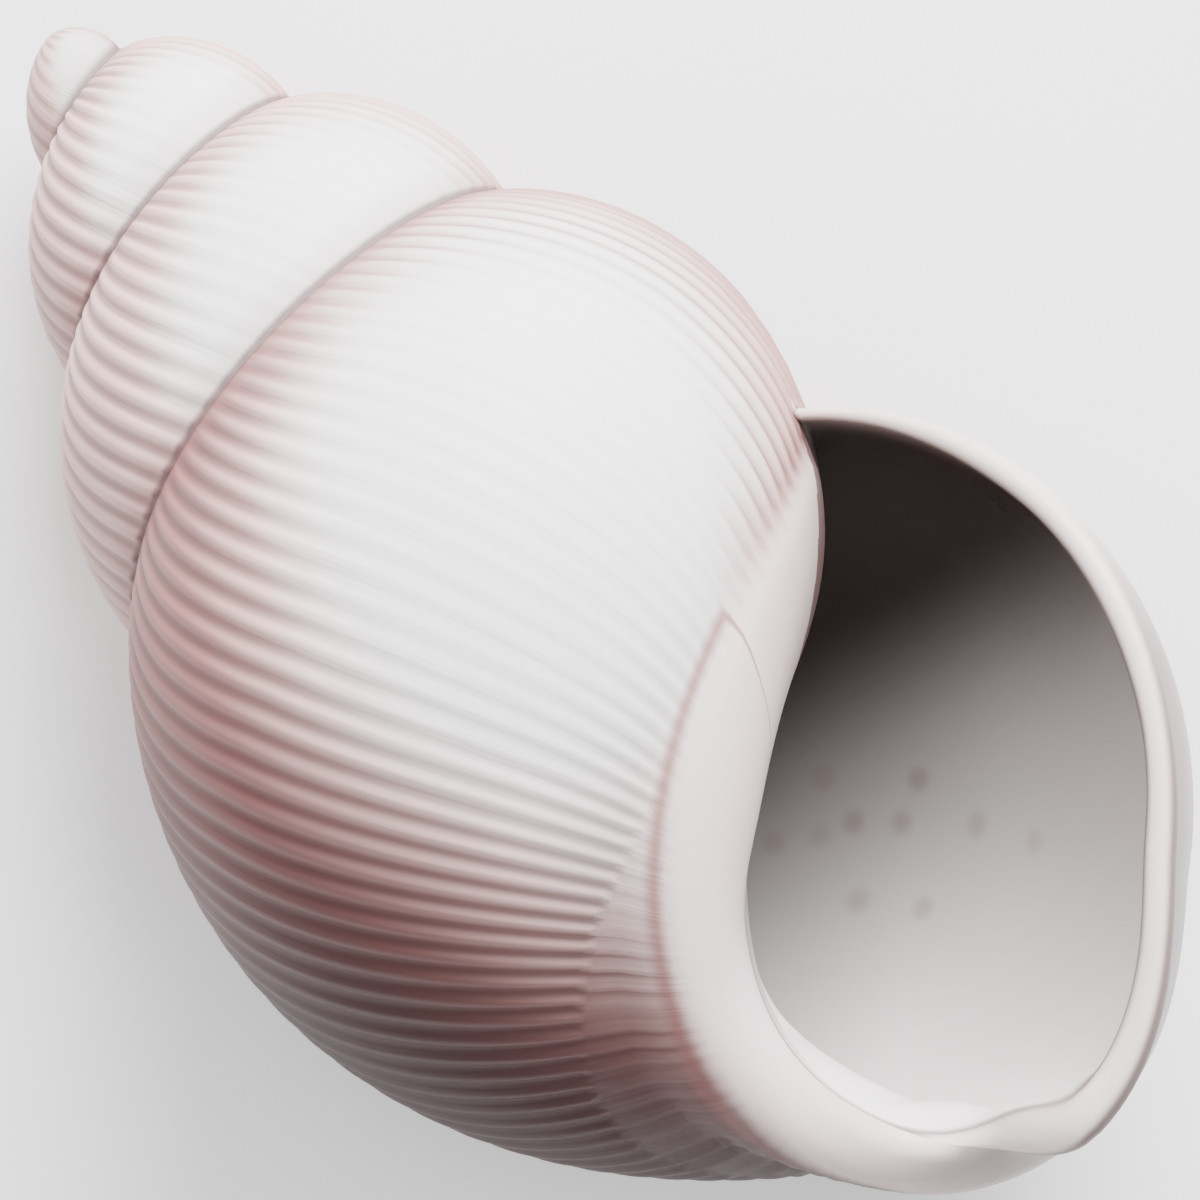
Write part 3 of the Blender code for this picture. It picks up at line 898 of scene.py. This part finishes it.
# to_foot grows towards the foot of the mouth; the finish paints the lining darker the further it lies from
# the foot, as painted shade.
to_foot = FOOT_IS_RIGHT * seen[:, 0] - FOOT_IS_DOWN * seen[:, 1]
look.attributes.new("to_foot", "FLOAT", "POINT").data.foreach_set("value", to_foot)
normals = np.array([vertex.normal for vertex in look.vertices])
look.attributes.new("sky", "FLOAT", "POINT").data.foreach_set("value", normals[:, 2].copy())
# How squarely each point faces the lip's shaded side, for painted shade.
look.attributes.new("lip_shade_facing", "FLOAT", "POINT").data.foreach_set("value", normals @ LIP_SHADE_SIDE)
look.polygons.foreach_set("use_smooth", [True] * len(look.polygons))
look.materials.append(material)
look.update()
shell = bpy.data.objects.new("shell_skin", look)
bpy.context.scene.collection.objects.link(shell)
look.calc_loop_triangles()
print("triangles:", len(look.loop_triangles))

# %% [markdown]
# ## Stains inside the mouth
# A few faint round stains lie on the lining.  Each is given by its pixel, read off the
# photograph where it shows, and a ray from the camera finds the point of the shell
# behind that pixel.  They could be painted into an image, but a distance from a
# point needs no unwrapping, and it stays right when the mouth changes its shape.

# %% Find the stains
PHOTO_TIP = (50.0, 29.8)
PHOTO_SCALE = 0.055
RAY_START = 100.0
CLEAR = 0.35
SOFT = 0.3
FAINT = 0.2
STAINS_IN_PHOTO = (
    (925, 780, CLEAR),
    (908, 824, CLEAR),
    (860, 824, CLEAR),
    (983, 826, SOFT),
    (864, 903, SOFT),
    (929, 910, SOFT),
    (830, 780, FAINT),
    (826, 838, FAINT),
    (780, 845, FAINT),
    (1040, 842, FAINT),
)
STAIN_CORE = 0.0002
STAIN_RADIUS = 0.0011
rest_from_photo = resting_turn() @ seen_turn().T
tip_at_rest = laid.mean(axis=0) - rest_from_photo @ seen.mean(axis=0) * MM
skin_and_lining = BVHTree.FromPolygons([tuple(point) for point in laid], faces)


def shown_at(pixels_right, pixels_down):
    """Point of the shell that the photograph shows at a pixel."""
    right = (pixels_right - PHOTO_TIP[0]) * PHOTO_SCALE
    up = (PHOTO_TIP[1] - pixels_down) * PHOTO_SCALE
    ray_start = tip_at_rest + rest_from_photo @ np.array([right, up, RAY_START]) * MM
    hit, _, _, _ = skin_and_lining.ray_cast(Vector(ray_start), Vector(-rest_from_photo[:, 2]))
    return hit


stains = [(shown_at(right, down), amount) for right, down, amount in STAINS_IN_PHOTO]
print("stains inside the mouth:", len(stains))

# %% [markdown]
# ## The finish
# The shell is pale pink with mauve on its last turn, and the band beside the mouth and
# the lining are smooth as china.  Over this lie painted highlight and painted shade:
# white where the skin faces the key light, and darker mauve, plum and brown away from
# it, in the grooves, at the rims, the seams, beside the band, on the lip and deep in
# the mouth.  All this could be painted by hand, but here every layer follows a number
# that the tree stored, so it lies right wherever a turn goes.

# %% Shell finish
material.use_nodes = True
paint = material.node_tree
Wire.tree = paint
shader = paint.nodes["Principled BSDF"]


def tone(red, green, blue):
    """A screen colour from 0 to 255 as the light it stands for."""
    return tuple((value / 255.0) ** 2.2 for value in (red, green, blue)) + (1.0,)


def mark(name):
    """Wire that reads a number the tree stored on the shell."""
    reader = paint.nodes.new("ShaderNodeAttribute")
    reader.attribute_name = name
    return Wire(reader.outputs["Fac"])


# Every layer is mixed with this, the painted highlight and painted shade as well as the real stains.
def lay_colour(under, over, amount):
    """Lay one colour over another."""
    mixer = paint.nodes.new("ShaderNodeMix")
    mixer.data_type = "RGBA"
    mixer.clamp_factor = True
    feed(mixer.inputs[0], amount)
    for socket, colour in ((mixer.inputs[6], under), (mixer.inputs[7], over)):
        if isinstance(colour, Wire):
            paint.links.new(colour.socket, socket)
        else:
            socket.default_value = colour
    return Wire(mixer.outputs[2])


def noise(vector, scale, detail):
    """Soft random pattern from 0 to 1."""
    cloud = paint.nodes.new("ShaderNodeTexNoise")
    cloud.inputs["Scale"].default_value = scale
    cloud.inputs["Detail"].default_value = detail
    paint.links.new(vector.socket, cloud.inputs["Vector"])
    return Wire(cloud.outputs[0])


here = Wire(paint.nodes.new("ShaderNodeTexCoord").outputs["Object"])
grown, across, wear_and_highlight, shade_side = mark("grown"), mark("across"), mark("wear_and_highlight"), mark("shade_side")
groove, smooth, past_ribs, gap = mark("groove"), mark("smooth"), mark("band_gap"), mark("seam_gap")
inside, to_foot, sky, lip_shade_facing = mark("inside"), mark("to_foot"), mark("sky"), mark("lip_shade_facing")

# White of the painted highlight on the side that faces the key light.
HIGHLIGHT_WHITE = tone(245, 244, 243)
BLUSH = tone(242, 204, 199)
MAUVE = tone(155, 106, 104)
# Plum of the painted shade in the grooves between the ribs.
PLUM = tone(92, 52, 52)
# Dark brown of the painted shade on the side away from the light and beside the band.
UNDERSIDE_SHADE = tone(62, 44, 45)
SEAM_LINE = tone(96, 72, 74)
PORCELAIN = tone(244, 236, 233)
LIP = tone(232, 218, 214)
# Grey of the painted shade on the lip.
LIP_SHADE = tone(128, 114, 112)
LINING = tone(244, 238, 236)
# Dark of the painted shade deep in the mouth.
SHADE = tone(52, 45, 44)
STAIN = tone(120, 84, 80)

# Each pair is where a layer begins to show and where it shows in full
HIGHLIGHT_SIDE = (0.55, 0.86)
LIT_SIDE = (0.3, 0.8)
LIT_SKY = (0.15, 0.75)
DARKENED_TURNS = (2.9, 3.8)
SHADE_SIDE_FROM = (0.08, 0.9)
SHADE_SIDE_NEAR_BAND = (-0.1, 0.45)
IN_THE_GROOVE = (-0.5, 1.0)
# Distances from the ends of the ribs and from a seam, in millimetres
STEP_SHADE_COMES = (-0.9, 0.0)
STEP_SHADE_GOES = (0.0, 0.8)
BAND_SHADE_COMES = (-9.0, -1.0)
BAND_SHADE_GOES = (0.0, 1.5)
SEAM_SHADE = (0.2, 2.6)
SEAM_WIDTH = (0.15, 0.55)
SHADE_ENDS = (49.5, 73.0)
# Turns grown, and turns inside the mouth
STEP_SHADE_LEAVES = (4.0, 4.2)
LAST_LIP = (4.1, 4.35)
LIP_BEGINS = (0.0, 0.05)
LINING_BEGINS = (0.15, 0.19)
LIP_LEAVES = (0.1, 0.17)
LIP_SKY = (0.1, 0.75)
LIP_SHADE_FROM = (-0.1, 0.5)

mottle = noise(here, 70.0, 3.0)
cloudy = mottle - 0.5
patchy = wear_and_highlight + cloudy * 0.16
# Painted highlight: white where the skin faces the key light's side.
painted_highlight = ease(patchy, *HIGHLIGHT_SIDE)
last_turn = 0.3 + 0.7 * ease(grown, *DARKENED_TURNS)
# Painted shade: a mauve line along the step where the ribs end at the smooth band.
band_step_shade = ease(past_ribs, *STEP_SHADE_COMES) * (1.0 - ease(past_ribs, *STEP_SHADE_GOES))
band_step_shade = band_step_shade * (1.0 - ease(grown, *STEP_SHADE_LEAVES))
# Painted shade in the hollow at the foot of the raised band, on the side away from the key light.
shade_beside_band = ease(past_ribs, *BAND_SHADE_COMES) * (1.0 - ease(past_ribs, *BAND_SHADE_GOES))
shade_beside_band = shade_beside_band * ease(shade_side, *SHADE_SIDE_NEAR_BAND)
rough_skin = 1.0 - smooth
# Mauve is the shell's own colour on the last turn; it is laid on heavier away from the lit side as painted
# shade, on the side turned from the key light and along the rims that face away from the top.
lit_side = ease(patchy, *LIT_SIDE) * ease(sky, *LIT_SKY)
outside_colour = lay_colour(BLUSH, HIGHLIGHT_WHITE, painted_highlight)
outside_colour = lay_colour(outside_colour, MAUVE, (1.0 - lit_side) * last_turn * rough_skin)
# Painted shade in the grooves between the ribs, left out under the painted highlight.
groove_shade = ease(0.0 - groove, *IN_THE_GROOVE) * (1.0 - painted_highlight) * rough_skin
outside_colour = lay_colour(outside_colour, PLUM, groove_shade * 0.5)
# Painted shade: dark brown on the side turned away from the key light.
painted_underside_shade = ease(shade_side + cloudy * 0.1, *SHADE_SIDE_FROM) * last_turn * (1.0 - 0.7 * smooth)
outside_colour = lay_colour(outside_colour, UNDERSIDE_SHADE, painted_underside_shade)
outside_colour = lay_colour(outside_colour, PORCELAIN, smooth * 0.6)
outside_colour = lay_colour(outside_colour, MAUVE, band_step_shade * 0.8)
outside_colour = lay_colour(outside_colour, UNDERSIDE_SHADE, shade_beside_band * 0.45)
# Painted shade: mauve in the crease on either side of each seam.
outside_colour = lay_colour(outside_colour, MAUVE, (1.0 - ease(gap, *SEAM_SHADE)) * 0.35)
outside_colour = lay_colour(outside_colour, SEAM_LINE, (1.0 - ease(gap, *SEAM_WIDTH)) * 0.8)
# Painted shade on the lip: grey where it turns down, away from the top.
lip_colour = lay_colour(LIP_SHADE, LIP, ease(sky, *LIP_SKY))
# Painted shade: the lining is darker deep in the mouth and lighter towards its foot.
lining_colour = lay_colour(SHADE, LINING, ease(to_foot, *SHADE_ENDS))
for middle, amount in stains:
    away = paint.nodes.new("ShaderNodeVectorMath")
    away.operation = "DISTANCE"
    paint.links.new(here.socket, away.inputs[0])
    away.inputs[1].default_value = middle
    near = 1.0 - ease(Wire(away.outputs["Value"]), STAIN_CORE, STAIN_RADIUS)
    lining_colour = lay_colour(lining_colour, STAIN, near * amount)
lining_colour = lay_colour(lip_colour, lining_colour, ease(inside, *LINING_BEGINS))
colour = lay_colour(outside_colour, lining_colour, ease(inside, *LIP_BEGINS))
# Painted shade on the outside of the lip that faces away from the key light.
lip_painted_shade = ease(lip_shade_facing, *LIP_SHADE_FROM) * smooth * ease(grown, *LAST_LIP)
lip_painted_shade = lip_painted_shade * (1.0 - ease(inside, *LIP_LEAVES))
colour = lay_colour(colour, LIP_SHADE, lip_painted_shade)
paint.links.new(colour.socket, shader.inputs["Base Color"])

LINES_PER_TURN = 260.0
LINE_BREAKS = 2.0
lines = paint.nodes.new("ShaderNodeCombineXYZ")
feed(lines.inputs[0], grown * LINES_PER_TURN)
feed(lines.inputs[1], across * LINE_BREAKS)
fine_lines = noise(Wire(lines.outputs[0]), 1.0, 2.0)
bump = paint.nodes.new("ShaderNodeBump")
bump.inputs["Strength"].default_value = 0.25
bump.inputs["Distance"].default_value = 0.0002
feed(bump.inputs["Height"], fine_lines * (1.0 - smooth))
paint.links.new(bump.outputs["Normal"], shader.inputs["Normal"])
gloss = 0.5 - smooth * 0.2 + cloudy * 0.1
paint.links.new(gloss.socket, shader.inputs["Roughness"])
shader.inputs["Specular IOR Level"].default_value = 0.22

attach(shell, "root")
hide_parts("shell")
print("finish:", material.name, "with", len(paint.nodes), "nodes")

# %% [markdown]
# ## Floor, light and camera
# A pale floor and soft boxes, with the main light from the top of the picture.  The
# camera looks down from the photograph's own angle through a long lens.  A picture of
# a sky could light the shell too, but a soft box can be put where the shadows ask it.

# %% Floor and light
CAMERA_TURN = math.radians(52.5)
CAMERA_HEIGHT = math.radians(84.0)
LEVEL = math.cos(CAMERA_HEIGHT)
BACK = Vector((
    math.sin(CAMERA_TURN) * LEVEL,
    -math.cos(CAMERA_TURN) * LEVEL,
    math.sin(CAMERA_HEIGHT),
))
RIGHT = Vector((math.cos(CAMERA_TURN), math.sin(CAMERA_TURN), 0.0))
UP = BACK.cross(RIGHT)

WHITE = (1.0, 1.0, 1.0, 1.0)
FLOOR = 4
FLOOR_GLOW = 0.3
KEY_WATTS = 20.0
FILL_WATTS = 16.0
STUDIO_LIGHT = 0.3

floor_mesh = bpy.data.meshes.new("floor")
corners = [(-FLOOR, -FLOOR, 0), (FLOOR, -FLOOR, 0), (FLOOR, FLOOR, 0), (-FLOOR, FLOOR, 0)]
floor_mesh.from_pydata(corners, [], [(0, 1, 2, 3)])
floor = bpy.data.objects.new("floor", floor_mesh)
bpy.context.scene.collection.objects.link(floor)
floor_paint = bpy.data.materials.new("floor_paint")
floor_paint.use_nodes = True
floor_shader = floor_paint.node_tree.nodes["Principled BSDF"]
floor_shader.inputs["Base Color"].default_value = (0.93, 0.93, 0.93, 1.0)
floor_shader.inputs["Roughness"].default_value = 0.9
floor_shader.inputs["Emission Color"].default_value = WHITE
floor_shader.inputs["Emission Strength"].default_value = FLOOR_GLOW
floor_mesh.materials.append(floor_paint)
floor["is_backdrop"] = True


def soft_box(name, direction, distance, size, watts):
    lamp = bpy.data.lights.new(name, "AREA")
    lamp.size = size
    lamp.energy = watts
    box = bpy.data.objects.new(name, lamp)
    box.location = direction.normalized() * distance
    box.rotation_euler = direction.to_track_quat("Z", "Y").to_euler()
    bpy.context.scene.collection.objects.link(box)


soft_box("key", UP * 0.8 + BACK * 0.55 + RIGHT * 0.15, 0.7, 0.4, KEY_WATTS)
soft_box("fill", BACK, 1.2, 1.2, FILL_WATTS)
world = bpy.data.worlds.new("studio")
world.use_nodes = True
world.node_tree.nodes["Background"].inputs["Color"].default_value = WHITE
world.node_tree.nodes["Background"].inputs["Strength"].default_value = STUDIO_LIGHT
bpy.context.scene.world = world

# %% Camera
IMAGE = 1200
SPAN = 1170
CENTRE = (605.0, 606.0)
DISTANCE = 1.5
SENSOR = 36.0
across_view = laid @ np.array(RIGHT)
up_view = laid @ np.array(UP)
pixel = 0.5 * (np.ptp(across_view) + np.ptp(up_view)) / SPAN
aim_right = 0.5 * (across_view.min() + across_view.max()) - (CENTRE[0] - 0.5 * IMAGE) * pixel
aim_up = 0.5 * (up_view.min() + up_view.max()) + (CENTRE[1] - 0.5 * IMAGE) * pixel
aim_back = 0.5 * (CAD_LOW[2] + CAD_HIGH[2])
camera_data = bpy.data.cameras.new("camera")
camera_data.sensor_width = SENSOR
camera_data.lens = SENSOR * DISTANCE / (IMAGE * pixel)
camera = bpy.data.objects.new("camera", camera_data)
camera.location = RIGHT * aim_right + UP * aim_up + BACK * (aim_back + DISTANCE)
camera.rotation_euler = BACK.to_track_quat("Z", "Y").to_euler()
bpy.context.scene.collection.objects.link(camera)
bpy.context.scene.camera = camera
print("picture scale, mm per pixel:", round(pixel * 1000.0, 4))
